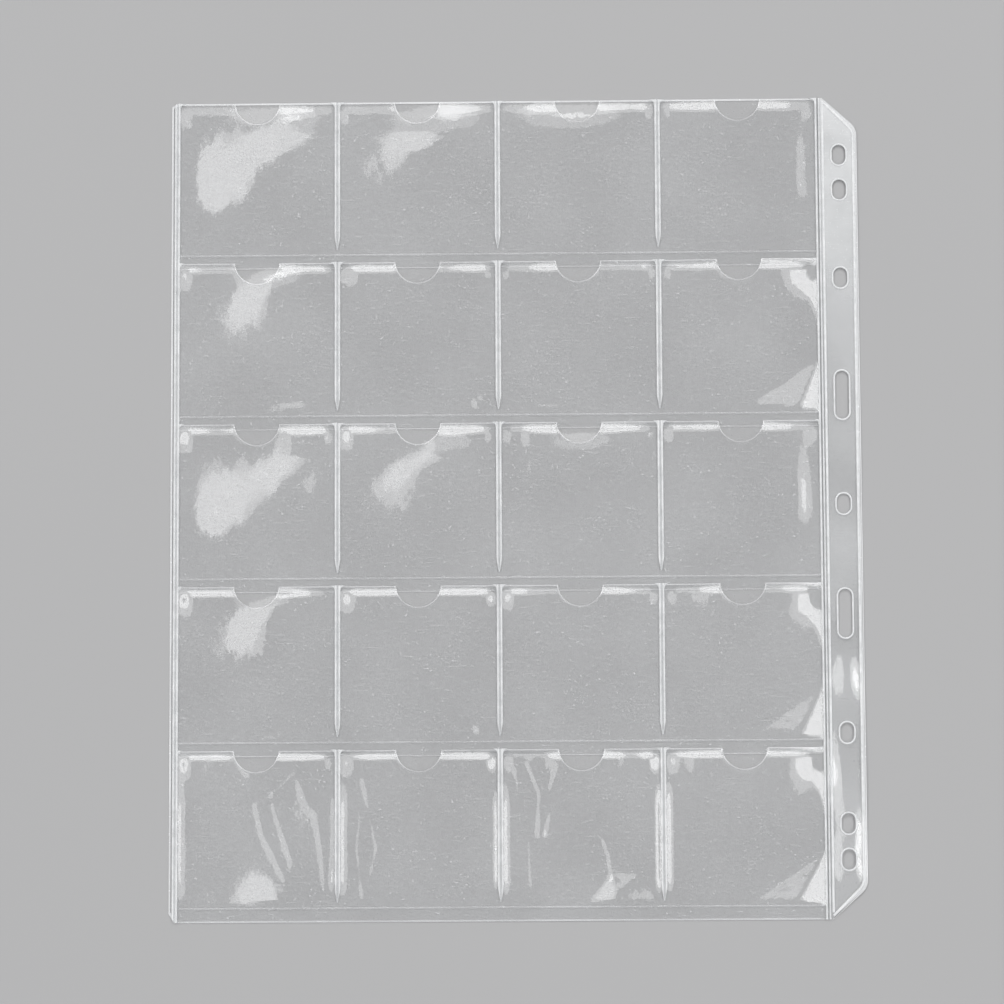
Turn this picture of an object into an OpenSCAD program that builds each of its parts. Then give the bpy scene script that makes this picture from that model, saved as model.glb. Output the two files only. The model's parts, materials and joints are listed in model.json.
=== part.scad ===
// Album page of clear film for coins in square card holders: rows of pockets that open at
// the top, welded side by side on one back sheet, and a punched strip for a ring binder.
// The page lies on its back, with +X towards the binding strip, +Y towards the top edge and
// +Z out of the pockets. The origin is the middle of the outline, on the underside.

/* [Pockets] */
// Clear width of a pocket between its side welds
pocket_w = 52.7; // [40:0.1:70]
// Depth of a pocket from its mouth to the middle of its bottom weld
pocket_h = 52.8; // [51:0.1:70]
// Pockets across the page
cols = 4; // [2:1:5]
// Pockets down the page
rows = 5; // [5:1:6]
// Film left below each bottom weld
hem_h = 4.7; // [4:0.1:8]
// Length by which a hem runs on behind the mouth below it
hem_lap = 2.0; // [0.5:0.1:2.5]

/* [Pocket mouths] */
// Radius of the thumb notch
notch_r = 7.6; // [5:0.1:12]
// Depth of the thumb notch below the mouth
notch_depth = 7.2; // [4:0.1:12]
// Radius of the two corners of a mouth
mouth_corner_r = 1.5; // [0.5:0.1:3]

/* [Film and welds] */
// Thickness of one film
film_t = 0.2; // [0.1:0.05:0.4]
// Slack between a hem and the pocket front that lies over it
pocket_slack = 0.3; // [0.2:0.05:1]
// Clearance at the sides of a pocket front, which lifts between its welds
front_clear = 0.3; // [0.2:0.05:0.5]
// Clearance between a pocket front's lower bead and the bottom weld
bead_clear = 0.15; // [0.1:0.05:0.4]
// Width of a side weld
weld_w = 2.0; // [1.6:0.1:2.6]
// Width of the groove along the middle of a side weld
weld_groove = 0.4; // [0.2:0.1:0.8]
// Height of the weld ridges above the pocket fronts
weld_rise = 0.15; // [0.05:0.05:0.5]
// Length of the tapered lower end of a column weld
weld_taper = 5; // [1:0.5:15]
// Gap between the tip of a column weld and the bottom weld
weld_tip_gap = 1.5; // [0.5:0.1:4]
// Width of a bottom weld
row_weld_w = 0.7; // [0.5:0.1:0.8]
// Film trimmed off outside the left weld
trim_w = 1.0; // [0.5:0.1:4]
// Width of the cuts at the left corners
left_cut_w = 2.0; // [0.5:0.1:2.5]
// Height of the cut at the top left corner
left_cut_top = 1.0; // [0.5:0.1:5]
// Height of the cut at the bottom left corner
left_cut_bottom = 3.0; // [0.5:0.1:5]

/* [Binding strip] */
// Width of the strip from its fold to its free edge
strip_w = 12.7; // [12:0.1:30]
// Thickness of the strip's lower film, which carries the rings
strip_t = 0.4; // [0.4:0.05:0.6]
// Width of the slanted cut at each end of the strip
corner_w = 11.6; // [5:0.1:11.8]
// Height of the slanted cut at each end of the strip
corner_h = 10.6; // [5:0.1:14]
// Radius where the slanted cut meets the free edge
corner_r = 6; // [2:0.5:10]
// Distance from the line of holes to the free edge
hole_edge = 6.2; // [5.5:0.1:7]
// Width of the ring holes
hole_w = 4.6; // [4:0.1:6]
// Length of the short ring holes
hole_l = 6.8; // [6.5:0.1:10]
// Length of the two long ring slots
slot_l = 16.4; // [12:0.1:24]
// Spacing of the outer two of four rings that are 80 mm apart
four_ring_span = 240; // [238:0.1:242]
// Spacing of the outer two of three rings that are 107.95 mm apart
three_ring_span = 215.9; // [214:0.05:218]
// Spacing of the outer two of four rings that are 45, 65 and 45 mm apart
close_ring_span = 155; // [150:0.1:160]
// Spacing of the two long slots
slot_span = 74.4; // [70:0.1:80]
// Width of the raised rim round each hole
rim_w = 0.8; // [0.4:0.1:1.2]
// Radius of the bead that the strip folds about
fold_r = 0.4; // [0.3:0.05:0.6]
// Clearance between the fold's bead and the spine weld
fold_clear = 0.3; // [0.2:0.05:0.8]
// Margin of the strip's upper film inside the lower one
strip_margin = 0.5; // [0.2:0.1:1]
// Distance from the free edge to the edge weld
edge_weld_inset = 0.9; // [0.5:0.1:1.2]
// Width of the edge weld
edge_weld_w = 0.8; // [0.4:0.1:1]
// Height of the edge weld
edge_weld_h = 0.2; // [0.1:0.05:0.4]

/* [Hidden] */
$fn = 48;
corner_steps = 8;
// Small step that keeps a ridge's curve off the side of its weld
seam = 0.02;
// Overlap of shapes that are fused into one solid
fuse = 0.2;
// Height of the cutting shapes
cut_h = 10;

row_pitch = pocket_h + hem_h - hem_lap;
page_h = front_clear + (rows - 1) * row_pitch + pocket_h + hem_h;
ridge_r = (weld_w - weld_groove) / 4;
spine_w = 2 * ridge_r + 2 * seam;
page_w = trim_w + weld_w + cols * pocket_w + (cols - 1) * weld_w
    + spine_w + fold_clear + fold_r + strip_w;

half_h = page_h / 2;
left_x = -page_w / 2;
edge_x = page_w / 2;
fold_x = edge_x - strip_w;
fold_z = fold_r + seam;
spine_x = fold_x - fold_r - fold_clear - spine_w / 2;
sheet_x = fold_x - fold_r - fold_clear / 2;
hole_x = edge_x - hole_edge;

front_z = 2 * film_t + pocket_slack;
front_top_z = front_z + film_t;
ridge_z = front_top_z + weld_rise - ridge_r;
row_ridge_r = row_weld_w / 2;
row_ridge_z = max(film_t + row_ridge_r + seam, front_top_z - row_ridge_r);
bead_r = film_t / 2 + 2 * seam;
strip_top_z = strip_t + film_t;

ring_holes = concat(
    [[0, hole_l]],
    [for (span = [four_ring_span, three_ring_span, close_ring_span], s = [-1, 1]) [s * span / 2, hole_l]],
    [for (s = [-1, 1]) [s * slot_span / 2, slot_l]]
);

film_color = [0.86, 0.90, 0.93, 0.35];
weld_color = [0.95, 0.97, 0.98, 0.65];

// Middle of side weld k, from 0 at the left edge to cols - 1
function weld_x(k) = left_x + trim_w + weld_w / 2 + k * (pocket_w + weld_w);
// Left side of the pockets in column c, from 1
function pocket_x(c) = weld_x(c - 1) + weld_w / 2;
// Mouth line, bottom weld and hem edge of row r, from 1 at the top
function mouth_y(r) = half_h - front_clear - (r - 1) * row_pitch;
function weld_y(r) = mouth_y(r) - pocket_h;
function hem_y(r) = weld_y(r) - hem_h;
// Line about which the fronts of row r lift
function lift_y(r) = weld_y(r) + row_weld_w / 2 + bead_clear + bead_r;

function front_name(r, c) = str("pocket_front_r", r, "_c", c);
function hem_name(r) = str("row_hem_", r);
function column_name(k) = str("column_weld_", k);

function arc(x, y, r, from, to) = [
    for (i = [0 : corner_steps])
        let (a = from + (to - from) * i / corner_steps)
        [x + r * cos(a), y + r * sin(a)]
];

// Outline of the page left of the fold
function sheet_outline() = [
    [left_x + left_cut_w, half_h],
    [left_x, half_h - left_cut_top],
    [left_x, left_cut_bottom - half_h],
    [left_x + left_cut_w, -half_h],
    [sheet_x, -half_h],
    [sheet_x, half_h]
];

// Upper half of the strip's outline, taken in by d from its free edges
function strip_half(x, d) =
    let (
        slope = atan2(corner_h, corner_w),
        arc_y = half_h - corner_h - corner_r * (1 - sin(slope)) / cos(slope),
        cut_x = edge_x - (d + (corner_h - d) * cos(slope)) / sin(slope)
    )
    concat(
        [[x, half_h - d], [cut_x, half_h - d]],
        arc(edge_x - corner_r, arc_y, corner_r - d, 90 - slope, 0)
    );

function strip_outline(x, d) =
    let (upper = strip_half(x, d))
    concat(upper, [for (i = [len(upper) - 1 : -1 : 0]) [upper[i][0], -upper[i][1]]]);

// Section of a weld on the back sheet, with a rounded ridge at each of the given places across it
module weld_section(w, ridge_xs) {
    translate([-w / 2, film_t]) square([w, ridge_z - film_t]);
    intersection() {
        for (x = ridge_xs) translate([x, ridge_z]) circle(r = ridge_r);
        translate([-w / 2, film_t]) square([w, cut_h]);
    }
}

// Weld along Y with that section
module weld_bar(w, y0, y1, ridge_xs) {
    translate([0, y1, 0]) rotate([90, 0, 0]) linear_extrude(y1 - y0) weld_section(w, ridge_xs);
}

// Side weld with its two ridges
module side_weld(y0, y1) {
    ridge_x = weld_w / 2 - ridge_r - seam;
    weld_bar(weld_w, y0, y1, [-ridge_x, ridge_x]);
}

// Fillet where the mouth of row r runs into a weld's side, at x = 0, towards +X
module mouth_fillet(r) {
    reach = mouth_corner_r + front_clear;
    translate([0, mouth_y(r), film_t]) linear_extrude(front_top_z - film_t)
        polygon(concat(
            [[-fuse, front_clear], [-fuse, -mouth_corner_r]],
            arc(reach, -mouth_corner_r, reach, 180, 90)
        ));
}

// Space of the hem that lies behind the mouth of row r, over a width w from x
module hem_space(r, x, w) {
    if (r > 1)
        translate([x, hem_y(r - 1), 0]) cube([w, hem_h, 2 * film_t]);
}

// Plan of a column weld in row r: straight from the mouth, then tapered to a narrow tip
module column_plan(r) {
    tip_y = weld_y(r) + row_weld_w / 2 + weld_tip_gap;
    tip = weld_groove / 2;
    top_y = mouth_y(r) + front_clear;
    translate([0, 0, film_t]) linear_extrude(cut_h) polygon([
        [-tip, tip_y],
        [tip, tip_y],
        [weld_w / 2, tip_y + weld_taper],
        [weld_w / 2, top_y],
        [-weld_w / 2, top_y],
        [-weld_w / 2, tip_y + weld_taper]
    ]);
}

module back_sheet() {
    color(film_color) linear_extrude(film_t) polygon(sheet_outline());
}

module left_edge_weld() {
    color(weld_color) difference() {
        intersection() {
            union() {
                translate([weld_x(0), 0, 0]) side_weld(-half_h, half_h);
                for (r = [1 : rows]) translate([pocket_x(1), 0, 0]) mouth_fillet(r);
            }
            linear_extrude(cut_h) polygon(sheet_outline());
        }
        for (r = [1 : rows]) hem_space(r, pocket_x(1), pocket_w);
    }
}

// Page side of the weld at the spine, next to the strip's fold
module spine_weld() {
    color(weld_color) difference() {
        translate([spine_x, 0, 0]) {
            weld_bar(spine_w, -half_h, half_h, [0]);
            for (r = [1 : rows])
                translate([-spine_w / 2, 0, 0]) mirror([1, 0, 0]) mouth_fillet(r);
        }
        for (r = [1 : rows]) hem_space(r, pocket_x(cols), pocket_w);
    }
}

// Weld between two columns, one length for each row
module column_weld(k) {
    color(weld_color) for (r = [1 : rows]) difference() {
        translate([weld_x(k), 0, 0]) union() {
            intersection() {
                side_weld(hem_y(r), mouth_y(r) + front_clear);
                column_plan(r);
            }
            for (s = [0, 1]) mirror([s, 0, 0]) translate([weld_w / 2, 0, 0]) mouth_fillet(r);
        }
        hem_space(r, left_x, page_w);
    }
}

// Lower edge of a row's film with the weld that closes its pockets
module row_hem(r) {
    length = pocket_x(cols) + pocket_w - pocket_x(1);
    color(film_color) {
        translate([pocket_x(1), hem_y(r), film_t])
            cube([length, hem_h, film_t]);
        translate([pocket_x(1), weld_y(r), row_ridge_z]) rotate([0, 90, 0])
            cylinder(r = row_ridge_r, h = length);
    }
}

// Front film of one pocket, with its thumb notch and the bead that it lifts about
module pocket_front(r, c) {
    x0 = pocket_x(c) + front_clear;
    x1 = pocket_x(c) + pocket_w - front_clear;
    y1 = mouth_y(r);
    corner = mouth_corner_r;
    notch_y = y1 - notch_depth + notch_r;
    color(film_color) {
        difference() {
            translate([0, 0, front_z]) linear_extrude(film_t) polygon(concat(
                [[x0, lift_y(r)], [x1, lift_y(r)]],
                arc(x1 - corner, y1 - corner, corner, 0, 90),
                arc(x0 + corner, y1 - corner, corner, 90, 180)
            ));
            translate([(x0 + x1) / 2, notch_y, 0]) cylinder(r = notch_r, h = cut_h);
            if (notch_y < y1)
                translate([(x0 + x1) / 2 - notch_r, notch_y, 0])
                    cube([2 * notch_r, y1 - notch_y + fuse, cut_h]);
        }
        translate([x0, lift_y(r), front_z + film_t / 2]) rotate([0, 90, 0])
            cylinder(r = bead_r, h = x1 - x0);
    }
}

// Oblong cutter for one ring hole, along Y
module hole_cutter(length) {
    straight = length - hole_w;
    for (s = [-1, 1])
        translate([0, s * straight / 2, -cut_h / 2]) cylinder(d = hole_w, h = cut_h);
    translate([-hole_w / 2, -straight / 2, -cut_h / 2]) cube([hole_w, straight, cut_h]);
}

module ring_hole_cutters() {
    for (hole = ring_holes) translate([hole_x, hole[0], 0]) hole_cutter(hole[1]);
}

// Lower film of the binding strip, with the bead that it folds about
module binding_strip_back() {
    color(film_color) {
        difference() {
            linear_extrude(strip_t) polygon(strip_outline(fold_x, 0));
            ring_hole_cutters();
        }
        translate([fold_x, half_h, fold_z]) rotate([90, 0, 0]) cylinder(r = fold_r, h = page_h);
    }
}

// Upper film of the binding strip
module binding_strip_front() {
    color(film_color) difference() {
        translate([0, 0, strip_t]) linear_extrude(film_t)
            polygon(strip_outline(fold_x + fold_r + seam, strip_margin));
        ring_hole_cutters();
    }
}

// Weld that follows the free edges of the binding strip
module strip_edge_weld() {
    start_x = fold_x + fold_r + fold_clear;
    color(weld_color) translate([0, 0, strip_top_z]) linear_extrude(edge_weld_h) difference() {
        polygon(strip_outline(start_x, edge_weld_inset));
        polygon(strip_outline(fold_x, edge_weld_inset + edge_weld_w));
    }
}

// Half-round section of a hole's rim
module rim_section() {
    intersection() {
        circle(d = rim_w);
        translate([-rim_w / 2, 0]) square([rim_w, rim_w]);
    }
}

// Raised rim round one ring hole
module hole_rim(length) {
    straight = length - hole_w;
    rim_r = (hole_w + rim_w) / 2;
    for (s = [0, 1]) rotate([0, 0, 180 * s]) {
        translate([0, straight / 2, 0]) rotate_extrude(angle = 180) translate([rim_r, 0]) rim_section();
        translate([rim_r, straight / 2, 0]) rotate([90, 0, 0]) linear_extrude(straight) rim_section();
    }
}

// Raised welds round all the ring holes
module hole_rims() {
    color(weld_color) for (hole = ring_holes)
        translate([hole_x, hole[0], strip_top_z]) hole_rim(hole[1]);
}

back_sheet();
left_edge_weld();
spine_weld();
for (k = [1 : cols - 1])
    column_weld(k);
for (r = [1 : rows])
    row_hem(r);
for (r = [1 : rows], c = [1 : cols])
    pocket_front(r, c);
binding_strip_back();
binding_strip_front();
strip_edge_weld();
hole_rims();
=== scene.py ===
"""Looks of a clear coin album page.

Thin wavy films with painted highlights along their cut edges, frosted welds whose crests carry a painted
highlight, a pale floor, soft studio light and the photo's view.
"""
import json
import math

import bpy
import numpy as np
from mathutils import Matrix, Vector
from mathutils.geometry import convex_hull_2d, delaunay_2d_cdt


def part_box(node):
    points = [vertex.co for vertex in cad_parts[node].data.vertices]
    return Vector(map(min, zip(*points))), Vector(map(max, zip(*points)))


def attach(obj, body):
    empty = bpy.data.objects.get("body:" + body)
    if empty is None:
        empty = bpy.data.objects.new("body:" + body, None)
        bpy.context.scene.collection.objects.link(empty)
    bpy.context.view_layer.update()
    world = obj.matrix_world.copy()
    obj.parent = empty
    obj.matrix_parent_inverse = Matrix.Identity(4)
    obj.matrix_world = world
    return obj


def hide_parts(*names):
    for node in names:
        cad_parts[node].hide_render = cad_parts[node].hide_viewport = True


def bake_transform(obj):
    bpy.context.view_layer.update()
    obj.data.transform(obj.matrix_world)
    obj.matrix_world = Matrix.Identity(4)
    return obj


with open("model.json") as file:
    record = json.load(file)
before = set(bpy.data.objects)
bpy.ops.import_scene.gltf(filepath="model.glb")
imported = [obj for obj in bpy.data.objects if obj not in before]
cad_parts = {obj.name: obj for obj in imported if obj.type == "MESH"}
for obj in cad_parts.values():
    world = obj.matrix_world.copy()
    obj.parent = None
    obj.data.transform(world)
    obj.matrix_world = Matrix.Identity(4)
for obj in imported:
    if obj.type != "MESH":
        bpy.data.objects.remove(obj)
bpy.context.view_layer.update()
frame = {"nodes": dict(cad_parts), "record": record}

# Sizes are in millimetres, and MM turns them into Blender's metres
MM = 0.001
FILM_T = 0.2
# The strip's lower film is thicker than the others
STRIP_BACK_T = 0.4
# A film runs on this far into the weld that holds it
TUCK = 0.15
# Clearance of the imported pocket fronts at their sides, which the film bridges
FRONT_CLEAR = 0.3
# Half width of the weld along the bottom of a row, its height and how far its ridge stays below that
ROW_WELD_R = 0.35
ROW_WELD_TOP = 0.9
ROW_WELD_SINK = 0.1
# Cut edges of film carry a painted highlight over this width, and swell a little
EDGE_W = 0.35
PAGE_EDGE_W = 0.6
EDGE_SWELL = 0.05
# The cut edge of a mouth is looked for over this many edge widths
EDGE_REACH = 1.2
# Gap between films that lie on each other
REST_GAP = 0.02
CORNER_R = 1.5
NOTCH_R = 7.6
NOTCH_DEPTH = 7.2
FOLD_R = 0.4
# Spacing of the points of the meshes
POCKET_STEP = 1.15
FINE_STEP = 0.75
BACK_STEP = 1.7
STRIP_STEP = 1.0
HEM_STEP_X = 1.6
HEM_STEP_Y = 0.9
# A hem's rows of points start this far above its lower edge and stop this far below its weld
HEM_FROM = 1
HEM_CLEAR = 0.6
# Rows of points over a hem's weld
WELD_ROWS = 9
# Points inside a film stay clear of its outlines by this share of their spacing
CLEAR_SHARE = 0.45
# Points of a plan closer than this are one
SAME_POINT = 1e-5
# Slack for rounding where a place is compared with the fold
SLACK = 1e-6
# Edges of a bead that turn less than this are smooth
BEAD_SMOOTH = 50


def box_mm(node):
    low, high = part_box(node)
    return np.array(low) / MM, np.array(high) / MM


def node_names(prefix):
    return sorted(n for n in frame["nodes"] if n.startswith(prefix))


FRONTS = node_names("pocket_front_")
HEMS = node_names("row_hem_")

sheet_low = box_mm("back_sheet")[0]
strip_low, strip_high = box_mm("binding_strip_back")
fold_x = strip_low[0] + FOLD_R
fold_z = strip_high[2] - FOLD_R


# Flat plans of the films

def arc(x, y, r, start, end, steps=10):
    turn = np.radians(np.linspace(start, end, steps + 1))
    return np.column_stack([x + r * np.cos(turn), y + r * np.sin(turn)])


def resampled(loop, spacing):
    """A closed loop with points no further apart than the spacing."""
    made = []
    for a, b in zip(loop, np.roll(loop, -1, axis=0)):
        n = max(1, math.ceil(np.linalg.norm(b - a) / spacing))
        made.append(a + (b - a) * np.arange(n)[:, None] / n)
    return np.vstack(made)


def inside(points, loop):
    x, y = points[:, 0], points[:, 1]
    found = np.zeros(len(points), bool)
    for (ax, ay), (bx, by) in zip(loop, np.roll(loop, -1, axis=0)):
        if ay == by:
            continue
        crosses = (ay > y) != (by > y)
        found ^= crosses & (x < (bx - ax) * (y - ay) / (by - ay) + ax)
    return found


def distance_to(points, loop):
    """Distance from each point to a closed loop."""
    nearest = np.full(len(points), np.inf)
    for a, b in zip(loop, np.roll(loop, -1, axis=0)):
        d = b - a
        t = np.clip(((points - a) @ d) / max(d @ d, 1e-12), 0, 1)
        nearest = np.minimum(nearest, np.linalg.norm(points - a - t[:, None] * d, axis=1))
    return nearest


def taken_in(outline, width, least_reach=0.0):
    """An outline drawn in towards its middle by a width along each axis."""
    middle = outline.mean(0)
    reach = np.abs(outline - middle).clip(least_reach)
    return middle + (outline - middle) * (1 - width / reach)


def film_plan(outline, spacing, ring=None, holes=()):
    """Points and triangles of a flat film, which follow a ring inside the outline if there is one."""
    outlines = [outline] if ring is None else [outline, ring]
    loops = [resampled(np.asarray(loop, float), spacing) for loop in outlines]
    loops += [np.asarray(hole, float) for hole in holes]
    low, high = loops[0].min(0), loops[0].max(0)
    axes = [np.arange(low[i] + spacing / 2, high[i], spacing) for i in (0, 1)]
    grid = np.stack(np.meshgrid(*axes), axis=-1).reshape(-1, 2)
    keep = inside(grid, loops[0 if ring is None else 1])
    for loop in loops:
        keep &= distance_to(grid, loop) > spacing * CLEAR_SHARE
    for hole in holes:
        keep &= ~inside(grid, hole)
    points = np.vstack([*loops, grid[keep]])
    edges, start = [], 0
    for loop in loops:
        n = len(loop)
        edges += [(start + i, start + (i + 1) % n) for i in range(n)]
        start += n
    verts, _, faces, *_ = delaunay_2d_cdt([Vector(p) for p in points], edges, [], 1, SAME_POINT)
    points = np.array(verts)
    faces = np.array([f for f in faces if len(f) == 3])
    middles = points[faces].mean(1)
    kept = inside(middles, loops[0])
    for hole in holes:
        kept &= ~inside(middles, hole)
    return points, faces[kept]


# Meshes

def mesh_object(name, verts_mm, faces, smooth_deg=35):
    mesh = bpy.data.meshes.new(name)
    mesh.from_pydata((np.asarray(verts_mm) * MM).tolist(), [], [list(map(int, f)) for f in faces])
    mesh.polygons.foreach_set("use_smooth", [True] * len(mesh.polygons))
    mesh.set_sharp_from_angle(angle=math.radians(smooth_deg))
    mesh.update()
    piece = bpy.data.objects.new(name, mesh)
    bpy.context.scene.collection.objects.link(piece)
    return piece


def shell(name, plan, under, thick):
    """A closed film over a flat plan, from its lower surface and its thickness."""
    points, faces = plan
    x, y = points.T
    low = under(x, y)
    high = low + thick(x, y)
    n = len(points)
    verts = np.vstack([np.column_stack([x, y, high]), np.column_stack([x, y, low])])
    a, b, c = points[faces[:, 0]], points[faces[:, 1]], points[faces[:, 2]]
    turn = (b[:, 0] - a[:, 0]) * (c[:, 1] - a[:, 1]) - (b[:, 1] - a[:, 1]) * (c[:, 0] - a[:, 0])
    faces = np.where(turn[:, None] > 0, faces, faces[:, ::-1])
    sides = {(f[i], f[(i + 1) % 3]) for f in faces.tolist() for i in range(3)}
    walls = [(p, p + n, q + n, q) for p, q in sorted(sides) if (q, p) not in sides]
    return mesh_object(name, verts, [*faces, *(faces[:, ::-1] + n), *walls])


def paint_edges(piece, material_at):
    """Chooses each face's material from where its middle is."""
    mesh = piece.data
    middles = np.zeros(len(mesh.polygons) * 3)
    mesh.polygons.foreach_get("center", middles)
    middles = middles.reshape(-1, 3)[:, :2] / MM
    mesh.polygons.foreach_set("material_index", material_at(middles).astype(np.int32))


def bead(name, paths, width, height, floor, closed, steps=8):
    """Half-round beads along flat paths, with their flat side on the given surface."""
    turn = np.linspace(0, math.pi, steps + 1)
    across, up = -np.cos(turn) * width / 2, np.sin(turn) * height
    verts, faces = [], []
    for path in paths:
        path = np.asarray(path, float)
        if closed:
            ahead, back = np.roll(path, -1, axis=0), np.roll(path, 1, axis=0)
        else:
            ahead, back = np.vstack([path[1:], path[-1:]]), np.vstack([path[:1], path[:-1]])
        along = ahead - back
        along /= np.linalg.norm(along, axis=1)[:, None]
        side = np.column_stack([along[:, 1], -along[:, 0]])
        base, n, m = len(verts), len(path), steps + 1
        for p, s in zip(path, side):
            at = p + across[:, None] * s
            z = floor(at[:, 0], at[:, 1]) + up
            verts += np.column_stack([at, z]).tolist()
        for i in range(n if closed else n - 1):
            j = (i + 1) % n
            near, far = base + i * m, base + j * m
            for k in range(m):
                after = (k + 1) % m
                faces.append((near + k, near + after, far + after, far + k))
        if not closed:
            faces.append(tuple(base + k for k in range(m))[::-1])
            faces.append(tuple(base + (n - 1) * m + k for k in range(m)))
    return mesh_object(name, verts, faces, smooth_deg=BEAD_SMOOTH)


# Waves of the films

def ease(t):
    t = np.clip(t, 0, 1)
    return t * t * (3 - 2 * t)


def quarter_wave(t):
    """A rise that is steep at its foot and level at its top."""
    return np.sin(math.pi / 2 * np.clip(t, 0, 1))


def ripples(x, y, seed, count, longest, shortest, slope):
    """A sum of seeded sine waves, all of about the same slope."""
    rng = np.random.default_rng(seed)
    total = np.zeros_like(x)
    for _ in range(count):
        length = shortest * (longest / shortest) ** rng.random()
        way, phase = rng.random(2) * 2 * math.pi
        total += slope * length / (2 * math.pi) * np.sin(
            2 * math.pi * (x * math.cos(way) + y * math.sin(way)) / length + phase)
    return total / math.sqrt(count)


def swell(x, y, at, faces_deg, steep, gentle, ends, height, tight=1.0):
    """A soft rise with a steep flank that faces one way, a gentle one behind it and two sloping ends."""
    turn = math.radians(faces_deg)
    s = (x - at[0]) * math.cos(turn) + (y - at[1]) * math.sin(turn)
    t = (y - at[1]) * math.cos(turn) - (x - at[0]) * math.sin(turn)
    across = np.where(s > 0, s / (steep * tight), s / gentle)
    along = np.where(t > 0, t / ends[1], t / ends[0])
    return height * np.exp(-across ** 2 - along ** 2)


def crease(x, y, path, half_width, height):
    """A narrow soft ridge along an open path."""
    nearest = np.full_like(x, np.inf)
    for (ax, ay), (bx, by) in zip(path[:-1], path[1:]):
        dx, dy = bx - ax, by - ay
        t = np.clip(((x - ax) * dx + (y - ay) * dy) / (dx * dx + dy * dy), 0, 1)
        nearest = np.minimum(nearest, np.hypot(x - ax - t * dx, y - ay - t * dy))
    return height * np.exp(-(nearest / half_width) ** 2)


def leaning(x, y, foot, across, along):
    """Height of a flat film that leans up from a foot on the bottom weld."""
    return across * (x - foot) - along * y


def least(a, b, soft):
    """The smaller of two heights, rounded where they cross."""
    return (a + b - np.sqrt((a - b) ** 2 + 4 * soft ** 2)) / 2


def above(height, soft):
    """The height where it is over nothing, rounded where it gets there."""
    return (height + np.sqrt(height ** 2 + 4 * soft ** 2)) / 2 - soft


# Soft rises of the binding strip: middle from the fold, facing, widths of the steep and the gentle
# flank, half lengths to each end and height
STRIP_UPPER = ((6, -59), 8, 4, 20, (10, 10), 0.8)
STRIP_LOWER = ((6, -91), -6, 18, 40, (12, 12), 1.0)
STRIP_END = ((7.8, -114), 4, 3.6, 20, (13, 13), 0.87)
STRIP_TOP = ((strip_high[0] - fold_x, 116), 90, 16, 30, (20, 20), 0.3)
# Widths over which the strip comes free of the fold: its plain waves, its slow rises and its steep one
STRIP_RUN = 5
STRIP_SLOW_RUN = 9
STRIP_STEEP_RUN = 6
# Heights of the strip's lower surface at the fold, and on from there
STRIP_LIFT = 0.02
STRIP_FREE = 0.16
# Seed, count, longest and shortest wave and slope of the strip's waves, and of those in its lower part
STRIP_WAVES = (5, 8, 46, 14, 0.025)
LOWER_WAVES = (21, 7, 26, 10, 0.05)
LOWER_FROM = -38
LOWER_RUN = 24


def strip_under(x, y):
    """Lower surface of the binding strip, whose lower half buckles in three places."""
    across = x - fold_x
    slow = ease(across / STRIP_SLOW_RUN)
    upper = slow * swell(across, y, *STRIP_UPPER)
    lower = quarter_wave(across / STRIP_STEEP_RUN) * swell(across, y, *STRIP_LOWER)
    end = slow * swell(across, y, *STRIP_END)
    waves = ripples(x, y, *STRIP_WAVES)
    waves = waves + ease((LOWER_FROM - y) / LOWER_RUN) * ripples(x, y, *LOWER_WAVES)
    free = ease(across / STRIP_RUN) * (STRIP_FREE + swell(across, y, *STRIP_TOP) + waves)
    return STRIP_LIFT + upper + lower + end + free


# Pocket films

front_low, front_high = box_mm(FRONTS[0])
pocket_w = front_high[0] - front_low[0] + 2 * FRONT_CLEAR
hem_high = box_mm(HEMS[0])[1]
pocket_h = front_high[1] - (hem_high[1] - ROW_WELD_R)
front_z = (front_low[2] + front_high[2]) / 2 - FILM_T / 2
notch_y = pocket_h - NOTCH_DEPTH + NOTCH_R

# Soft rises of the films: middle from the pocket's lower left, facing, widths of the steep and the
# gentle flank, half lengths to each end and height
FLAT_SWELL = [((26, 30), 90, 20, 20, (14, 14), 0.15)]
ROW_A = {
    1: [((26, 25), 113, 15, 14, (16, 16), 1.25), ((46, 36), 124, 13, 14, (10, 15), 1.7)],
    2: [((27, 34), 122, 10, 18, (14, 13), 1.1), ((45, 42), 88, 7, 16, (9, 10), 1.5)],
    3: [((27, 41), 92, 8, 24, (18, 18), 0.85)],
    4: [((44, 25), 0, 8, 30, (22, 30), 0.6)],
}
ROW_B = {
    1: [((31, 41), 130, 6.5, 14, (12, 12), 1.1)],
    2: FLAT_SWELL,
    3: FLAT_SWELL,
    4: [],
}
ROW_C = {
    1: [((36, 0), 150, 11, 10, (10, 10), 1.9)],
    2: FLAT_SWELL,
    3: FLAT_SWELL,
    4: [],
}
ROW_SWELLS = [ROW_A, ROW_B, ROW_A, ROW_B, ROW_C]
# Each row's share of those heights and of the steep flanks' widths
ROW_LIFT = [1.0, 1.0, 1.2, 1.05, 1.0]
ROW_TIGHT = [1.0, 1.0, 0.75, 0.95, 1.0]
# Where each column's films start to come free of the left weld, and the width over which they do
LEFT_FROM = {1: 3, 2: -1, 3: -1, 4: -1}
LEFT_RUN = 13
# Width over which the films come down to each column's right weld, and how far past it they end
RIGHT_RUN = {1: 21, 2: 26, 3: 26, 4: 9}
RIGHT_OVER = 1
# Height above the bottom weld where a row's films start to come free, and the run over which they do
FREE_FROM = [9, 0, 9, 0, 0]
FREE_RUN = [14, 5, 14, 5, 3]
# Height of the curl along the mouths, which is larger in the lower rows
LIP_RISE = [0.42, 0.56, 0.62, 0.68, 0.74]
# Widths of the curl from the cut edge to its crest and behind it, and of its ends, which reach a
# little past the side welds
LIP_RUN = 4.2
LIP_FALL = 7.0
LIP_ENDS = 5
LIP_OVER = 0.5
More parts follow.
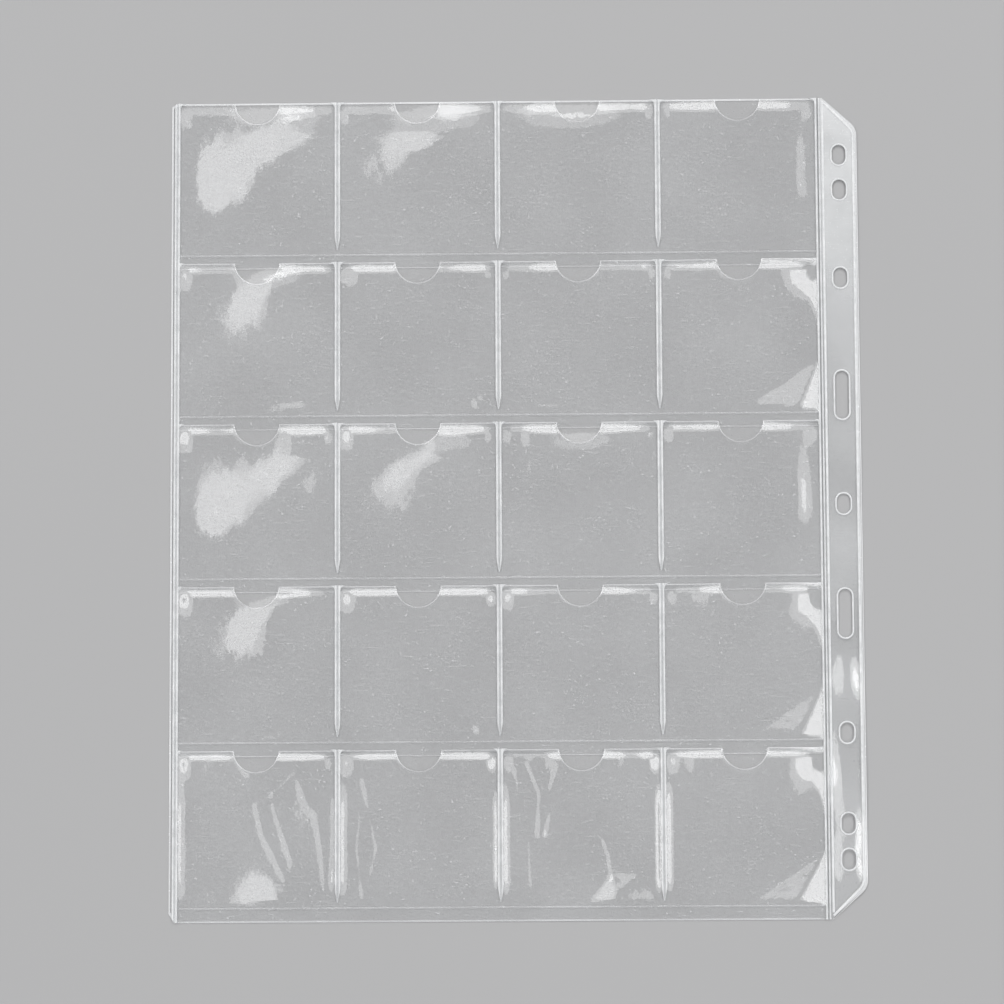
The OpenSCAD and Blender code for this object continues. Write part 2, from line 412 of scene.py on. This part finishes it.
# Waves of the films: count, longest and shortest wave and slope
LONG_WAVES = (8, 36, 13, 0.014)
FINE_WAVES = (7, 8, 4, 0.007)
LIP_WAVES = (6, 40, 12, 0.05)
# Added to a pocket's seed for its fine waves, its lip and its back film
FINE_SEED = 50
LIP_SEED = 70
BACK_SEED = 300
# How strongly a curl follows its waves, and its least and largest share
LIP_UNEVEN = 3
LIP_SHARES = (0.6, 1.25)
# A front film dips no further than this
DIP = -0.05
# Film of the column beside the spine: the dome under the mouth, the corner's lean from the bottom
# weld, which is a foot and slopes across and along, and the run of its foot
SPINE_COL = 4
SPINE_DOME = ((38, 45), 0, 13, 24, (9, 22), 2.0)
CORNER_LEAN = (25, 0.06, 0.09)
CORNER_FOOT = 2
# Steepness of that corner in the rows that lift there
CORNER_RISE = {2: 1.25, 4: 1.45, 5: 1.8}
# Slope of the film down to the spine, and the height and width of its last steep part
SPINE_SLOPE = 0.16
SPINE_STEP = 0.2
SPINE_STEP_RUN = 3
# Row and column of the pocket with a tent over its bottom weld, the lean of the tent's two faces, the
# height and slope of its top, and the run of its foot
TENT_POCKET = (5, 3)
TENT_LEFT = (27, 0.19, 0.15)
TENT_RIGHT = (52, -0.125, 0.05)
TENT_TOP = 11.5
TENT_TOP_SLOPE = 0.2
TENT_FOOT = 3
# Rounding of the films where their flat parts meet, from sharp to soft
SHARP = 0.03
MILD = 0.05
SOFT = 0.08
# Heights of the puffs along the left and right welds of the lowest row's pockets, and their widths
WELD_PUFFS = {1: (0.3, 0.4), 2: (0.36, 0.42), 3: (0.45, 0.55), 4: (0.55, 0.0)}
PUFF_RUN = 2.6
PUFF_FALL = 16
# Where the puffs start above the bottom weld and below the mouth, each with its run
PUFF_FOOT = (1, 9)
PUFF_TOP = (6, 14)
# Low rises over the bottom weld of the second and fourth row, by column
FOOT_ROWS = (2, 4)
FOOT_SWELLS = {
    1: [((39, 1.2), 90, 3.4, 1, (8, 9), 0.45)],
    2: [((47.5, 3.5), 90, 3, 2, (2.5, 2.5), 0.36)],
    3: [((14, 0.8), 90, 2.6, 1, (12, 10), 0.34)],
    4: [],
}
# Creases of the lowest row by column: path from the pocket's lower left, half width and height
CREASES = {
    1: [([(27, 34), (29, 25), (37, 9), (39, 15), (34, 30), (32, 37), (27, 34)], 1.3, 0.17),
        ([(33, 38), (40, 45), (44, 34), (47, 32), (49, 18), (50, 6)], 1.2, 0.14)],
    2: [([(7.5, 32), (6.5, 20), (8, 4)], 1.2, 0.16),
        ([(8.5, 42), (10.5, 32), (13, 20), (10, 6)], 1.4, 0.2)],
    3: [([(9, 48), (13, 38), (12, 24)], 1.3, 0.24),
        ([(19, 47), (16, 38), (13, 24)], 1.3, 0.24),
        ([(5, 46), (7, 25), (8, 4)], 1.2, 0.18),
        ([(37, 10), (36, 17), (34, 23), (30, 26.5)], 1.4, 0.26)],
    4: [],
}
# How much of a rise the back film shares, by column
BACK_SHARE = {1: 0.8, 2: 0.8, 3: 0.8, 4: 0.0}
# Least height of the back film, what its waves add to and its run at the mouths
BACK_LIFT = 0.03
BACK_FREE = 0.08
BACK_MOUTH_RUN = 7


def held(row, col, x, y):
    """How free a pocket's films are: hardly at all at the side and bottom welds."""
    left = ease((x - LEFT_FROM[col]) / LEFT_RUN)
    right = ease((pocket_w + RIGHT_OVER - x) / RIGHT_RUN[col])
    return left * right * ease((y - FREE_FROM[row - 1]) / FREE_RUN[row - 1])


def weld_puff(col, x, y):
    """Film of the lowest row that stands up steeply beside its welds."""
    def ridge(d):
        return quarter_wave(d / PUFF_RUN) * (1 - ease((d - PUFF_RUN) / PUFF_FALL))

    left, right = WELD_PUFFS[col]
    foot = ease((y - PUFF_FOOT[0]) / PUFF_FOOT[1])
    top = ease((pocket_h - PUFF_TOP[0] - y) / PUFF_TOP[1])
    return foot * top * (left * ridge(x) + right * ridge(pocket_w - x))


def spine_lift(row, x, y):
    """Film beside the spine: a dome under the mouth and a rise in the lower corner, cut off by the weld."""
    gap = pocket_w - x
    drop = SPINE_SLOPE * gap + SPINE_STEP * (1 - np.exp(-gap / SPINE_STEP_RUN))
    dome = ease((x - LEFT_FROM[SPINE_COL]) / LEFT_RUN) * swell(x, y, *SPINE_DOME)
    corner = ease(y / CORNER_FOOT) * above(CORNER_RISE[row] * leaning(x, y, *CORNER_LEAN), SHARP)
    return least(drop, dome + corner, SHARP)


def tent(x, y):
    """Film that stands up in a low tent over the bottom weld."""
    sides = least(leaning(x, y, *TENT_LEFT), leaning(x, y, *TENT_RIGHT), MILD)
    top = TENT_TOP_SLOPE * (TENT_TOP - y)
    return ease(y / TENT_FOOT) * above(least(sides, top, SOFT), SHARP)


def pocket_swell(row, col, x, y):
    """Rise that the front and the back film of a pocket share."""
    soft_rises = ROW_SWELLS[row - 1][col]
    rise = held(row, col, x, y) * sum(swell(x, y, *soft, ROW_TIGHT[row - 1]) for soft in soft_rises)
    if col == SPINE_COL and row in CORNER_RISE:
        rise = rise + spine_lift(row, x, y)
    if (row, col) == TENT_POCKET:
        rise = rise + tent(x, y)
    return ROW_LIFT[row - 1] * rise


def pocket_place(node):
    """Row, column and lower left corner of a pocket."""
    row, col = (int(w[1:]) for w in node.split("_")[2:])
    low, high = box_mm(node)
    return row, col, np.array([low[0] - FRONT_CLEAR, high[1] - pocket_h])


def pocket_seed(row, col):
    return 100 * row + col


def back_under(x, y):
    """Lower surface of the back film."""
    rise = np.full_like(x, BACK_LIFT)
    for node in FRONTS:
        row, col, corner = pocket_place(node)
        px, py = x - corner[0], y - corner[1]
        within = (px > 0) & (px < pocket_w) & (py > 0) & (py < pocket_h)
        px, py = px[within], py[within]
        waves = BACK_FREE + ripples(px, py, BACK_SEED + pocket_seed(row, col), *LONG_WAVES)
        shared = BACK_SHARE[col] * pocket_swell(row, col, px, py)
        free = held(row, col, px, py) * np.maximum(waves, 0)
        rise[within] += ease((pocket_h - py) / BACK_MOUTH_RUN) * (free + shared)
    return rise


def pocket_outline(d):
    """Outline of a pocket film from its lower left corner, taken in by d."""
    left, right = -TUCK + d, pocket_w + TUCK - d
    top = pocket_h - d
    reach = CORNER_R + FRONT_CLEAR
    corner_y = pocket_h - CORNER_R
    r = reach + TUCK - d
    lean = 180 - math.degrees(math.asin((top - corner_y) / r))
    notch_r = NOTCH_R + d
    dip = math.degrees(math.asin((notch_y - top) / notch_r))
    return np.vstack([
        [[left, d], [right, d]],
        arc(pocket_w - reach, corner_y, r, 0, 180 - lean),
        arc(pocket_w / 2, notch_y, notch_r, -dip, dip - 180, steps=28),
        arc(reach, corner_y, r, lean, 180),
    ])


def lip_distance(x, y):
    """Distance from a pocket film's mouth or notch."""
    notch = np.hypot(x - pocket_w / 2, y - notch_y) - NOTCH_R
    return np.minimum(pocket_h - y, notch)


def pocket_under(row, col):
    """Lower surface of one pocket's film, which curls towards the page along its mouth."""
    seed = pocket_seed(row, col)

    def under(x, y):
        rise = pocket_swell(row, col, x, y)
        waves = ripples(x, y, seed, *LONG_WAVES) + ripples(x, y, seed + FINE_SEED, *FINE_WAVES)
        rise = rise + held(row, col, x, y) * waves
        if row == len(HEMS):
            rise = rise + weld_puff(col, x, y) + sum(crease(x, y, *made) for made in CREASES[col])
        if row in FOOT_ROWS:
            rise = rise + sum(swell(x, y, *soft) for soft in FOOT_SWELLS[col])
        sides = ease((x + LIP_OVER) / LIP_ENDS) * ease((pocket_w + LIP_OVER - x) / LIP_ENDS)
        lip_waves = ripples(x, 0 * y, seed + LIP_SEED, *LIP_WAVES)
        uneven = np.clip(1 + LIP_UNEVEN * lip_waves, *LIP_SHARES)
        depth = pocket_h - y
        ridge = ease(depth / LIP_RUN) * (1 - ease((depth - LIP_RUN) / LIP_FALL))
        return front_z + np.maximum(rise, DIP) + LIP_RISE[row - 1] * uneven * sides * ridge

    return under


def edge_thick(x, y):
    return FILM_T + 2 * EDGE_SWELL * np.exp(-(lip_distance(x, y) / EDGE_W) ** 2)


def mouth_edge(points, inner):
    """1 on the cut edge of the mouth, which gets the brighter painted highlight, 2 on that of the notch,
    which gets a dimmer one, and 0 elsewhere.
    """
    on_edge = ~inside(points, inner) & (lip_distance(*points.T) < EDGE_REACH * EDGE_W)
    return on_edge * np.where(np.abs(points[:, 0] - pocket_w / 2) < NOTCH_R, 2, 1)


def make_pocket_films(film, mouth_highlight, notch):
    inner = pocket_outline(EDGE_W)
    plan = film_plan(pocket_outline(0), POCKET_STEP, ring=inner)
    fine_plan = film_plan(pocket_outline(0), FINE_STEP, ring=inner)
    for node in FRONTS:
        row, col, corner = pocket_place(node)
        shape = fine_plan if row == len(HEMS) else plan
        piece = shell(f"pocket_film_r{row}_c{col}", shape, pocket_under(row, col), edge_thick)
        # The mouths' and notches' cut edges take painted highlights of two strengths
        for material in (film, mouth_highlight, notch):
            piece.data.materials.append(material)
        paint_edges(piece, lambda p: mouth_edge(p, inner))
        start = Vector((*corner, 0)) * MM
        piece.data.transform(Matrix.Translation(start))
        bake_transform(piece)
        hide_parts(node)


# Back film and hems

# Distances from the fold within which the back film's edge is moved, and is left unpainted
BACK_END = 2
BACK_UNPAINTED = 3


def flat_outline(node, least_x=-np.inf):
    """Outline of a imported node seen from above, or of what it has from some x on."""
    corners = np.array([v.co[:2] for v in frame["nodes"][node].data.vertices]) / MM
    corners = corners[corners[:, 0] >= least_x - SLACK]
    return corners[convex_hull_2d([Vector(p) for p in corners])]


def make_back_film(film, edge, faint_edge_highlight):
    outline = flat_outline("back_sheet")
    outline[outline[:, 0] > fold_x - BACK_END, 0] = fold_x - FOLD_R - REST_GAP
    ring = taken_in(outline, PAGE_EDGE_W)
    piece = shell("back_film", film_plan(outline, BACK_STEP, ring=ring), back_under,
                  lambda x, y: np.full_like(x, FILM_T))
    for material in (film, edge, faint_edge_highlight):
        piece.data.materials.append(material)

    # The page's cut edges get a painted highlight, fainter along the bottom edge
    def edge_at(p):
        on_edge = ~inside(p, ring) & (p[:, 0] < fold_x - BACK_UNPAINTED)
        return on_edge * np.where(p[:, 1] < sheet_low[1] + PAGE_EDGE_W, 2, 1)

    paint_edges(piece, edge_at)
    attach(piece, "page")
    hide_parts("back_sheet")


def make_hems(film, edge):
    """Each hem is a narrow film with the row's bottom weld along its top."""
    for node in HEMS:
        low, high = box_mm(node)
        weld_y = high[1] - ROW_WELD_R
        edge_rows = [low[1], low[1] + EDGE_W]
        film_rows = np.arange(low[1] + HEM_FROM, weld_y - HEM_CLEAR, HEM_STEP_Y)
        turn = np.linspace(-1, 1, WELD_ROWS)
        weld_rows = weld_y + ROW_WELD_R * np.sin(turn * math.pi / 2)
        ys = np.concatenate([edge_rows, film_rows, weld_rows])
        xs = np.append(np.arange(low[0], high[0], HEM_STEP_X), high[0])
        grid = np.stack(np.meshgrid(xs, ys), axis=-1).reshape(-1, 2)
        nx = len(xs)
        quads = [(j * nx + i, j * nx + i + 1, (j + 1) * nx + i + 1, (j + 1) * nx + i)
                 for j in range(len(ys) - 1) for i in range(nx - 1)]
        faces = np.array([t for a, b, c, d in quads for t in ((a, b, c), (a, c, d))])

        def thick(x, y):
            up = np.sqrt(np.clip(1 - ((y - weld_y) / ROW_WELD_R) ** 2, 0, 1))
            return FILM_T + up * (ROW_WELD_TOP - 2 * FILM_T - REST_GAP - ROW_WELD_SINK)

        def under(x, y):
            return back_under(x, y) + FILM_T + REST_GAP

        piece = shell(f"hem_film_{node[-1]}", (grid, faces), under, thick)
        piece.data.materials.append(film)
        piece.data.materials.append(edge)
        # The weld's crest and the hem's lower edge get a faint painted highlight
        paint_edges(piece, lambda p: (p[:, 1] > weld_y - ROW_WELD_R) | (p[:, 1] < low[1] + EDGE_W))
        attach(piece, "page")
        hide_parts(node)


# Binding strip

# Width and height of the beads along the strip's edge and round its holes
EDGE_BEAD = (0.9, 0.3)
RIM_BEAD = (0.62, 0.28)
# How far the beads sink into the film, the edge bead lies in from the edge and a rim out from its hole
BEAD_SINK = 0.03
EDGE_BEAD_IN = 0.4
RIM_OUT = 0.3
# The edge bead leaves out the side along the fold: what is nearer to it than this, short of these ends
BEAD_FROM = 0.5
BEAD_END_Y = 138
# The strip's cut edge is painted from this far beside the fold
STRIP_PAINT_FROM = 1


def ring_holes():
    """Middle, radius and length of each ring hole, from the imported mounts."""
    found = []
    for mount in frame["record"]["mounts"]:
        if mount["kind"] != "bolt_pattern":
            continue
        dims = mount["dims"]
        x, y = mount["pos_m"][0] / MM, mount["pos_m"][1] / MM
        half = dims["spacing_y_mm"] / 2
        for side in ((-1, 1) if half else (0,)):
            found.append((x, y + side * half, dims["hole_r_mm"], dims["slot_length_mm"]))
    return found


def slot_loop(hole, grow, steps=12):
    x, y, r, length = hole
    straight = length / 2 - r
    upper = arc(x, y + straight, r + grow, 0, 180, steps)
    lower = arc(x, y - straight, r + grow, 180, 360, steps)
    return np.vstack([upper, lower])


def make_strip(film, edge, weld):
    holes = [slot_loop(h, 0) for h in ring_holes()]
    front_lift = STRIP_BACK_T + REST_GAP
    layers = [("strip_film_back", "binding_strip_back", 0.0, STRIP_BACK_T),
              ("strip_film_front", "binding_strip_front", front_lift, FILM_T)]
    for name, node, lift, thickness in layers:
        outline = flat_outline(node, fold_x)
        ring = taken_in(outline, EDGE_W, least_reach=1)
        piece = shell(name, film_plan(outline, STRIP_STEP, ring=ring, holes=holes),
                      lambda x, y: strip_under(x, y) + lift, lambda x, y: np.full_like(x, thickness))
        piece.data.materials.append(film)
        piece.data.materials.append(edge)
        # The strip's cut edge, away from the fold, gets a painted highlight
        paint_edges(piece, lambda p: ~inside(p, ring) & (p[:, 0] > fold_x + STRIP_PAINT_FROM))
        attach(piece, "binding_strip")
        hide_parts(node)

    def top(x, y):
        return strip_under(x, y) + front_lift + FILM_T - BEAD_SINK

    path = taken_in(flat_outline("strip_edge_weld", fold_x), EDGE_BEAD_IN, least_reach=1)
    start = int(np.argmin(np.hypot(path[:, 0] - fold_x, path[:, 1] - strip_low[1])))
    path = resampled(np.roll(path, -start, axis=0), STRIP_STEP)
    path = path[(path[:, 0] > fold_x + BEAD_FROM) | (np.abs(path[:, 1]) > BEAD_END_Y)]
    bead_line = bead("strip_edge_bead", [path], *EDGE_BEAD, top, closed=False)
    bead_line.data.materials.append(weld)
    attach(bead_line, "binding_strip")
    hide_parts("strip_edge_weld")

    rims = bead("ring_hole_rims", [slot_loop(h, RIM_OUT) for h in ring_holes()], *RIM_BEAD, top, closed=True)
    rims.data.materials.append(weld)
    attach(rims, "binding_strip")
    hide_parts("hole_rims")


# Sections along the fold's bead, sides round it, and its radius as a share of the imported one: its
# middle value, and the share and length of each of its two waves
FOLD_SECTIONS = 200
FOLD_SIDES = 14
FOLD_SHARE = 0.93
FOLD_WAVES = ((0.05, 5.3), (0.02, 1.7))


def make_fold_bead(weld):
    """Rounded bead along the spine that the strip folds about."""
    ys = np.linspace(strip_low[1], strip_high[1], FOLD_SECTIONS)
    turn = np.linspace(0, 2 * math.pi, FOLD_SIDES + 1)[:-1]
    verts, n = [], len(turn)
    for y in ys:
        r = FOLD_R * (FOLD_SHARE + sum(share * math.sin(y / length) for share, length in FOLD_WAVES))
        verts += [(fold_x + r * math.cos(t), y, fold_z + r * math.sin(t)) for t in turn]
    faces = [(i * n + k, i * n + (k + 1) % n, (i + 1) * n + (k + 1) % n, (i + 1) * n + k)
             for i in range(len(ys) - 1) for k in range(n)]
    faces += [tuple(range(n)), tuple(range((len(ys) - 1) * n, len(ys) * n))[::-1]]
    piece = mesh_object("fold_bead", verts, faces, smooth_deg=BEAD_SMOOTH)
    piece.data.materials.append(weld)
    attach(piece, "binding_strip")


# Materials

# Share of the light that film mirrors head on, and how sharply it grows at a slant
HEAD_ON = 0.045
SLANT_POWER = 5.0
# Fineness of the patterns: haze, dust, scratches and grain of film, patches in the painted sheen at the
# strip's top, frost and grain of welds, and tone of the floor
CLOUD_SCALE = 28.0
DUST_SCALE = 1500.0
SCRATCH_SCALE = 160.0
GRAIN_SCALE = 320.0
SHEEN_PATCH_SCALE = 70.0
FROST_SCALE = 240.0
WELD_GRAIN_SCALE = 900.0
FLOOR_SCALE = 3.0
# Direction of the scratches in radians, how much longer than wide they are and how much they veil
SCRATCH_TURN = 0.5
SCRATCH_STRETCH = 14
SCRATCH_VEIL = 0.05
# The strip's painted sheen, an extra milkiness towards its top, starts at this height of the page, and is
# full at the next, in metres
TOP_SHEEN_FROM = 0.035
TOP_SHEEN_FULL = 0.14
# Part of a noise's range that a pattern uses: its middle, or the higher values that make haze, which on cut
# edges is a painted highlight, and the peaks that make dust and scratches
MIDDLE = (0.3, 0.7)
HAZE_AND_SHEEN_RANGE = (0.35, 0.7)
DUST_PEAKS = (0.75, 0.8)
SCRATCH_PEAKS = (0.72, 0.8)
# Least and most share of the patches in the strip's painted top sheen and of the frost on a weld
SHEEN_PATCH_SHARE = (0.6, 1.2)
FROST = (0.72, 1.12)
# Least and most roughness of a weld's shine, and the height of its grain in metres
WELD_GLOSS = (0.12, 0.24)
WELD_GRAIN = 0.0002


def blank_material(name):
    material = bpy.data.materials.new(name)
    material.use_nodes = True
    tree = material.node_tree
    tree.nodes.clear()
    return material, tree, tree.nodes.new("ShaderNodeOutputMaterial")


def add(tree, kind, settings=None, **inputs):
    """A node with its settings, and with values or other sockets on its inputs."""
    made = tree.nodes.new("ShaderNode" + kind)
    for key, value in (settings or {}).items():
        setattr(made, key, value)
    for key, value in inputs.items():
        socket = made.inputs[int(key[1:]) if key[1:].isdigit() else key.replace("_", " ")]
        if isinstance(value, bpy.types.NodeSocket):
            tree.links.new(value, socket)
        else:
            socket.default_value = value
    return made


def maths(tree, operation, a, b):
    return add(tree, "Math", {"operation": operation}, i0=a, i1=b).outputs[0]


def noise(tree, place, scale, detail=3.0, rough=0.5):
    return add(tree, "TexNoise", Vector=place, Scale=scale, Detail=detail, Roughness=rough).outputs["Fac"]


def ranged(tree, value, low, high, to_low, to_high):
    made = add(tree, "MapRange", Value=value, From_Min=low, From_Max=high, To_Min=to_low, To_Max=to_high)
    return made.outputs[0]


def mix(tree, share, first, second):
    made = add(tree, "MixShader")
    tree.links.new(share, made.inputs[0])
    tree.links.new(first, made.inputs[1])
    tree.links.new(second, made.inputs[2])
    return made.outputs[0]


def mirror_share(tree):
    """How much a film mirrors: a little head on, and more at a slant."""
    facing = add(tree, "LayerWeight", Blend=0.5).outputs["Facing"]
    shine = maths(tree, "MULTIPLY_ADD", maths(tree, "POWER", facing, SLANT_POWER), 1 - HEAD_ON)
    shine.node.inputs[2].default_value = HEAD_ON
    return shine


def film_material(name, haze_and_painted_sheen, roughness, bump, painted_top_sheen=0.0, dusty=0.3):
    """Clear glossy film: it mirrors more at a slant, and shows a little haze, dust and fine scratches. A
    high haze share paints a highlight, as on cut edges, and the strip's top gets an extra painted sheen.
    """
    material, tree, out = blank_material(name)
    place = add(tree, "TexCoord").outputs["Object"]
    cloud = noise(tree, place, CLOUD_SCALE, 1.0, 0.6)
    dust = ranged(tree, noise(tree, place, DUST_SCALE, 0.0), *DUST_PEAKS, 0.0, dusty)
    drawn = add(tree, "Mapping", {"vector_type": "POINT"}, Vector=place, Rotation=(0, 0, SCRATCH_TURN),
                Scale=(1, SCRATCH_STRETCH, 1)).outputs[0]
    scratch = ranged(tree, noise(tree, drawn, SCRATCH_SCALE, 0.0), *SCRATCH_PEAKS, 0.0, SCRATCH_VEIL)
    specks = maths(tree, "ADD", dust, scratch)
    veil = maths(tree, "ADD", ranged(tree, cloud, *HAZE_AND_SHEEN_RANGE, *haze_and_painted_sheen), specks)
    # Painted sheen: the strip's film turns milkier towards its top, in patches
    if painted_top_sheen:
        height = add(tree, "SeparateXYZ", Vector=place).outputs["Y"]
        sheen_patches = ranged(tree, noise(tree, place, SHEEN_PATCH_SCALE, 2.0, 0.5), *MIDDLE, *SHEEN_PATCH_SHARE)
        top_sheen_ramp = ranged(tree, height, TOP_SHEEN_FROM, TOP_SHEEN_FULL, 0.0, painted_top_sheen)
        veil = maths(tree, "ADD", veil, maths(tree, "MULTIPLY", top_sheen_ramp, sheen_patches))
    rough = noise(tree, place, GRAIN_SCALE, 2.0, 0.5)
    grain = add(tree, "Bump", Strength=1.0, Distance=bump, Height=rough).outputs[0]
    gloss = add(tree, "BsdfGlossy", Color=(1, 1, 1, 1), Roughness=ranged(tree, cloud, *MIDDLE, *roughness),
                Normal=grain)
    clear = add(tree, "BsdfTransparent", Color=(0.994, 0.995, 0.996, 1))
    milk = add(tree, "BsdfPrincipled", Base_Color=(0.93, 0.94, 0.95, 1), Roughness=0.45)
    body = mix(tree, veil, clear.outputs[0], milk.outputs[0])
    tree.links.new(mix(tree, mirror_share(tree), body, gloss.outputs[0]), out.inputs[0])
    return material


def weld_material(name, low_z, high_z, veil_low, veil_high):
    """Fused film, frosted, and whitened along the crests of its ridges as a painted highlight."""
    material, tree, out = blank_material(name)
    place = add(tree, "TexCoord").outputs["Object"]
    height = add(tree, "SeparateXYZ", Vector=place).outputs["Z"]
    # Painted highlight: the frost grows whiter with height, towards the crest
    crest_highlight = ranged(tree, height, low_z * MM, high_z * MM, veil_low, veil_high)
    patchy = ranged(tree, noise(tree, place, FROST_SCALE, 4.0, 0.6), *MIDDLE, *FROST)
    veil = maths(tree, "MULTIPLY", crest_highlight, patchy)
    rough = noise(tree, place, WELD_GRAIN_SCALE, 3.0, 0.6)
    grain = add(tree, "Bump", Strength=0.25, Distance=WELD_GRAIN, Height=rough).outputs[0]
    gloss = add(tree, "BsdfGlossy", Color=(1, 1, 1, 1), Roughness=ranged(tree, patchy, *FROST, *WELD_GLOSS),
                Normal=grain)
    clear = add(tree, "BsdfTransparent", Color=(0.97, 0.98, 0.985, 1))
    milk = add(tree, "BsdfPrincipled", Base_Color=(0.95, 0.96, 0.97, 1), Roughness=0.35, Normal=grain)
    body = mix(tree, veil, clear.outputs[0], milk.outputs[0])
    tree.links.new(mix(tree, mirror_share(tree), body, gloss.outputs[0]), out.inputs[0])
    return material


def floor_material():
    material, tree, out = blank_material("pale_floor")
    place = add(tree, "TexCoord").outputs["Object"]
    tone = add(tree, "ValToRGB", Fac=noise(tree, place, FLOOR_SCALE, 2.0, 0.5))
    tone.color_ramp.elements[0].color = (0.455, 0.455, 0.46, 1)
    tone.color_ramp.elements[1].color = (0.475, 0.475, 0.48, 1)
    paint = add(tree, "BsdfPrincipled", Base_Color=tone.outputs[0], Roughness=0.9, Specular_IOR_Level=0.2)
    tree.links.new(paint.outputs[0], out.inputs[0])
    return material


# Stage, light and camera, in metres

FLOOR_HALF = 2.2
FLOOR_Z = -0.0002
BOX_HEIGHT = 3.6
PANEL_HEIGHT = 3.5
# Strength of the surround as a light, and as it is seen and mirrored
SKY_LIGHT = 0.36
SKY_SEEN = 0.5
CAMERA_DISTANCE = 1.5
CAMERA_TARGET = (-0.00461, 0.00151, 0.0)
# Pitch, yaw and roll in degrees
CAMERA_TURN = (7.511, 1.118, -0.439)
CAMERA_LENS = 158.92


def make_floor():
    mesh = bpy.data.meshes.new("floor")
    corners = [(-1, -1), (1, -1), (1, 1), (-1, 1)]
    mesh.from_pydata([(x * FLOOR_HALF, y * FLOOR_HALF, FLOOR_Z) for x, y in corners], [], [(0, 1, 2, 3)])
    floor = bpy.data.objects.new("floor", mesh)
    mesh.materials.append(floor_material())
    bpy.context.scene.collection.objects.link(floor)


def softbox(name, across, along, height, radiance):
    """A rectangular lamp over a span of x and a span of y, shining straight down."""
    lamp = bpy.data.lights.new(name, "AREA")
    lamp.shape = "RECTANGLE"
    lamp.size = across[1] - across[0]
    lamp.size_y = along[1] - along[0]
    lamp.energy = radiance * math.pi * lamp.size * lamp.size_y
    box = bpy.data.objects.new(name, lamp)
    box.location = (sum(across) / 2, sum(along) / 2, height)
    bpy.context.scene.collection.objects.link(box)


def make_light():
    """Three softboxes round the page, outside what a flat film mirrors, with a brighter panel in each."""
    softbox("left_softbox", (-2.06, -0.61), (-1.44, 2.7), BOX_HEIGHT, 1.5)
    softbox("top_softbox", (-0.61, 1.96), (1.17, 3.8), BOX_HEIGHT, 1.4)
    softbox("right_softbox", (0.86, 2.33), (-2.9, 1.17), BOX_HEIGHT, 1.4)
    softbox("left_panel", (-2.05, -1.4), (-1.25, 2.45), PANEL_HEIGHT, 2.4)
    softbox("top_panel", (-0.9, 1.95), (1.7, 3.0), PANEL_HEIGHT, 2.6)
    softbox("right_panel", (1.3, 2.15), (-2.5, 1.0), PANEL_HEIGHT, 2.6)
    world = bpy.data.worlds.new("studio")
    world.use_nodes = True
    tree = world.node_tree
    rays = add(tree, "LightPath").outputs
    seen = maths(tree, "MAXIMUM", rays["Is Camera Ray"], rays["Is Glossy Ray"])
    seen = maths(tree, "MAXIMUM", seen, rays["Is Transmission Ray"])
    sky = tree.nodes["Background"]
    sky.inputs["Color"].default_value = (1, 1, 1, 1)
    tree.links.new(ranged(tree, seen, 0.0, 1.0, SKY_LIGHT, SKY_SEEN), sky.inputs["Strength"])
    bpy.context.scene.world = world


def make_camera():
    """The photo's view: from above, a little below and to the right of the page's middle."""
    camera = bpy.data.objects.new("camera", bpy.data.cameras.new("camera"))
    camera.data.lens = CAMERA_LENS
    camera.data.sensor_width = 36
    pitch, yaw, roll = (math.radians(a) for a in CAMERA_TURN)
    turn = Matrix.Rotation(pitch, 4, "X") @ Matrix.Rotation(yaw, 4, "Y") @ Matrix.Rotation(roll, 4, "Z")
    place = Vector(CAMERA_TARGET) + turn.col[2].xyz * CAMERA_DISTANCE
    camera.matrix_world = Matrix.Translation(place) @ turn
    bpy.context.scene.collection.objects.link(camera)
    bpy.context.scene.camera = camera


film = film_material("clear_film", (0.0, 0.03), (0.04, 0.08), 0.00004)
# The strip's film is hazy throughout, with a painted sheen growing towards its top
strip_film = film_material("strip_film", (0.03, 0.14), (0.06, 0.12), 0.00007, painted_top_sheen=0.5, dusty=0.1)
# Cut edges are film whose haze is raised into painted highlights: strongest on the page and strip, weaker on
# the mouths and the page's bottom, weakest on notches and hems
edge = film_material("film_edge_highlight", (0.5, 0.75), (0.12, 0.2), 0.00005)
lip_edge_highlight = film_material("lip_edge_highlight", (0.22, 0.4), (0.08, 0.15), 0.00005)
notch_edge_highlight = film_material("notch_edge_highlight", (0.1, 0.24), (0.08, 0.15), 0.00005)
# Welds and beads are frosted, with a painted highlight whitening their crests
side_weld = weld_material("side_weld", 0.5, 1.0, 0.25, 0.75)
strip_weld = weld_material("strip_weld", 0.5, 0.9, 0.45, 0.75)

make_back_film(film, edge, lip_edge_highlight)
make_hems(film, notch_edge_highlight)
make_pocket_films(film, lip_edge_highlight, notch_edge_highlight)
make_strip(strip_film, edge, strip_weld)
make_fold_bead(strip_weld)
for node in ("left_edge_weld", "spine_weld", *node_names("column_weld_")):
    frame["nodes"][node].data.materials.clear()
    frame["nodes"][node].data.materials.append(side_weld)

make_floor()
make_light()
make_camera()
bpy.context.scene.view_settings.view_transform = "Standard"
bpy.context.scene.cycles.transparent_max_bounces = 64
